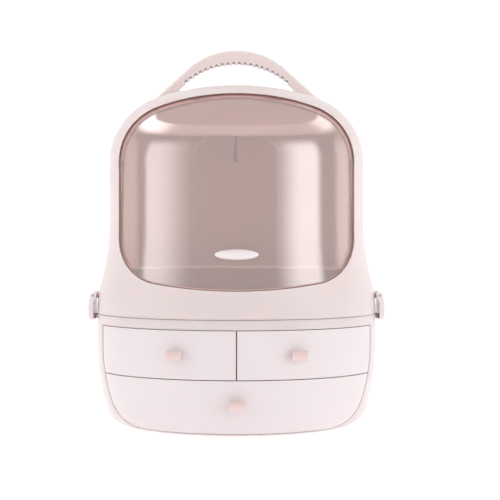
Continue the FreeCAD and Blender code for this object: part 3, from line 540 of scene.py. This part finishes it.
def tent_glow(azimuth, level):
    """Brightness of the tent over azimuth in degrees and level: an even front, two upright softboxes that
    fade towards it, a panel at each side, a high lamp at each side, and a brighter back and upper part."""
    level = level[:, None]
    across = np.abs(azimuth)
    boxes = LEFT_BOX[0] * hump(-azimuth, *LEFT_BOX[1:]) + RIGHT_BOX[0] * hump(azimuth, *RIGHT_BOX[1:])
    panels = np.where(azimuth < 0, LEFT_PANEL, RIGHT_PANEL) * hump(across, *PANEL_SPAN)
    lamps = LEFT_LAMP[0] * hump(-azimuth, *LEFT_LAMP[1:]) + RIGHT_LAMP[0] * hump(azimuth, *RIGHT_LAMP[1:])
    glow = FRONT_GLOW + BACK_GLOW * smooth(across, *BACK_SPAN) + UPPER_GLOW * smooth(level, *UPPER_SPAN)
    glow = glow + boxes * (1 - smooth(level, *BOX_TOP)) + panels * (1 - smooth(level, *PANEL_TOP))
    return glow + lamps * hump(level, *LAMP_SPAN)


def hang_cloth(name, points, brightness, cloth):
    """A sheet of the light tent, with its brightness kept at its points for the cloth's glow."""
    made = mesh_object(name, points, grid_faces(points), cloth)
    made.data.shade_smooth()
    glow = made.data.attributes.new("glow", "FLOAT", "POINT")
    glow.data.foreach_set("value", brightness.astype(np.float32).ravel())
    return made


def dress(names, material):
    """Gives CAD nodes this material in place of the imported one."""
    for name in names:
        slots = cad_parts[name].data.materials
        slots.clear()
        slots.append(material)


class OBJECT_OT_organizer_shell(bpy.types.Operator):
    """Dress the cabinet, the hood, the handle and the tray in satin ABS."""
    bl_idname = "object.organizer_shell"
    bl_label = "Shell"

    def execute(self, context):
        colours = context.scene.organizer_colours
        dress(PINK_NODES,
              moulded_abs("ABS satin pink", colours.shell, SATIN_ROUGH, SATIN_GRAIN, SHELL_THROUGH))
        dress(HANDLE_NODES,
              moulded_abs("ABS satin handle", colours.handle, SATIN_ROUGH, SATIN_GRAIN, SOLID_THROUGH,
                          grip_notches, colours.groove))
        dress(TRAY_NODES,
              moulded_abs("ABS satin tray", colours.tray, INNER_ROUGH, SATIN_GRAIN, TRAY_THROUGH))
        return {"FINISHED"}


class OBJECT_OT_organizer_liner(bpy.types.Operator):
    """Dress the panel inside the hood's back, with a painted highlight along its raised field's outline, and
    build the wedge over its fin, whose left flank has painted shade.
    """
    bl_idname = "object.organizer_liner"
    bl_label = "Liner"

    def execute(self, context):
        colours = context.scene.organizer_colours
        dress(LINER_NODES,
              moulded_abs("ABS satin liner", colours.liner, INNER_ROUGH, SATIN_GRAIN, LINER_THROUGH,
                          field_edge_highlight, colours.edge))
        rings = fin_rings()
        fin = mesh_object("liner_fin", rings, bar_faces(rings),
                          moulded_abs("ABS satin fin", colours.liner, INNER_ROUGH, SATIN_GRAIN,
                                      SOLID_THROUGH, fin_flank_shade, colours.flank))
        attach(fin, "cabinet")
        return {"FINISHED"}


class OBJECT_OT_organizer_drawers(bpy.types.Operator):
    """Dress the drawers in satin ABS and their knobs in gloss ABS."""
    bl_idname = "object.organizer_drawers"
    bl_label = "Drawers"

    def execute(self, context):
        colours = context.scene.organizer_colours
        dress(DRAWER_NODES,
              moulded_abs("ABS satin drawer", colours.drawer, DRAWER_ROUGH, SATIN_GRAIN, SOLID_THROUGH))
        dress(KNOB_NODES,
              moulded_abs("ABS gloss knob", colours.knob, GLOSS_ROUGH, GLOSS_GRAIN, SOLID_THROUGH))
        return {"FINISHED"}


class OBJECT_OT_organizer_buckles(bpy.types.Operator):
    """Dress the side buckles in gloss ABS."""
    bl_idname = "object.organizer_buckles"
    bl_label = "Buckles"

    def execute(self, context):
        colours = context.scene.organizer_colours
        dress(LATCH_NODES,
              moulded_abs("ABS gloss buckle", colours.latch, GLOSS_ROUGH, GLOSS_GRAIN, SOLID_THROUGH))
        return {"FINISHED"}


class OBJECT_OT_organizer_visor(bpy.types.Operator):
    """Dress the visor and its pins in clear acrylic and its pull in ABS, and build the band at its edge."""
    bl_idname = "object.organizer_visor"
    bl_label = "Visor"

    def execute(self, context):
        colours = context.scene.organizer_colours
        dress(VISOR_NODES + PIN_NODES, polished_acrylic("PMMA rose clear", colours.visor))
        dress(PULL_NODES,
              moulded_abs("ABS gloss pull", colours.pull, PULL_ROUGH, GLOSS_GRAIN, SOLID_THROUGH))
        lines = rim_lines()
        rim = mesh_object("visor_rim", lines, band_faces(lines),
                          moulded_abs("PMMA dark rose rim", colours.rim, RIM_ROUGH, GLOSS_GRAIN,
                                      SOLID_THROUGH))
        rim.data.shade_smooth()
        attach(rim, "visor")
        return {"FINISHED"}


class OBJECT_OT_organizer_hardware(bpy.types.Operator):
    """Dress the screws and buckle pins in steel and the pad in rubber."""
    bl_idname = "object.organizer_hardware"
    bl_label = "Hardware"

    def execute(self, context):
        colours = context.scene.organizer_colours
        dress(STEEL_NODES, zinc_steel("Zinc-plated steel", colours.steel))
        dress(PAD_NODES, foamed_rubber("EVA foam rubber", colours.pad))
        return {"FINISHED"}


class OBJECT_OT_organizer_stage(bpy.types.Operator):
    """Set up the floor, the light tent and the camera."""
    bl_idname = "object.organizer_stage"
    bl_label = "Stage"

    def execute(self, context):
        scene = context.scene
        stage = scene.organizer_stage
        cloth = lit_cloth("Tent cloth")
        azimuth = np.linspace(-180, 180, 241)
        level = np.linspace(0, 1, 33)
        tent = hang_cloth("light_tent", tent_points(stage.floor_size, azimuth, level),
                          tent_glow(azimuth, level), cloth)
        ceiling = disc_points(stage.floor_size, 24, 97, TENT_HEIGHT)
        roof = hang_cloth("tent_roof", ceiling, np.full(ceiling.shape[:2], ROOF_GLOW), cloth)
        ground = disc_points(stage.floor_size, 24, 97, 0.0)
        floor = mesh_object("studio_floor", ground, grid_faces(ground),
                            lit_paper("Studio paper", stage.floor_colour))
        floor.data.shade_smooth()
        world = bpy.data.worlds.new("Studio")
        world.use_nodes = True
        tree = world.node_tree
        tree.nodes.clear()
        air = add(tree, "ShaderNodeBackground", {"Color": (1, 1, 1, 1), "Strength": AIR_GLOW})
        add(tree, "ShaderNodeOutputWorld", {"Surface": air.outputs["Background"]})
        scene.world = world
        view = bpy.data.cameras.new("photo_view")
        view.lens = stage.lens
        view.sensor_width = 36.0
        view.shift_x = stage.shift_right
        view.shift_y = stage.shift_up
        view.clip_end = 50
        camera = bpy.data.objects.new("photo_view", view)
        camera.location = (0, -stage.camera_distance, stage.camera_height)
        camera.rotation_euler = (math.pi / 2, 0, 0)
        scene.collection.objects.link(camera)
        scene.camera = camera
        scene.view_settings.view_transform = "Standard"
        return {"FINISHED"}


class VIEW3D_PT_organizer(bpy.types.Panel):
    """Lists the steps, colours and studio sizes in the sidebar."""
    bl_label = "Organizer"
    bl_idname = "VIEW3D_PT_organizer"
    bl_space_type = "VIEW_3D"
    bl_region_type = "UI"
    bl_category = "Organizer"

    def draw(self, context):
        for step in STEPS:
            self.layout.operator(step.bl_idname)
        for group in (context.scene.organizer_colours, context.scene.organizer_stage):
            for name in group.__annotations__:
                self.layout.prop(group, name)


STEPS = (OBJECT_OT_organizer_shell, OBJECT_OT_organizer_liner, OBJECT_OT_organizer_drawers,
         OBJECT_OT_organizer_buckles, OBJECT_OT_organizer_visor, OBJECT_OT_organizer_hardware,
         OBJECT_OT_organizer_stage)
CLASSES = (OrganizerColours, OrganizerStage, *STEPS, VIEW3D_PT_organizer)


def register():
    """Registers the classes and hangs the settings on the scene."""
    for made in CLASSES:
        bpy.utils.register_class(made)
    bpy.types.Scene.organizer_colours = bpy.props.PointerProperty(type=OrganizerColours)
    bpy.types.Scene.organizer_stage = bpy.props.PointerProperty(type=OrganizerStage)


def unregister():
    """Takes the settings and the classes away again."""
    del bpy.types.Scene.organizer_stage
    del bpy.types.Scene.organizer_colours
    for made in reversed(CLASSES):
        bpy.utils.unregister_class(made)


def main():
    """Dresses the part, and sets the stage."""
    register()
    bpy.ops.object.organizer_shell()
    bpy.ops.object.organizer_liner()
    bpy.ops.object.organizer_drawers()
    bpy.ops.object.organizer_buckles()
    bpy.ops.object.organizer_visor()
    bpy.ops.object.organizer_hardware()
    bpy.ops.object.organizer_stage()


if __name__ == "__main__":
    main()
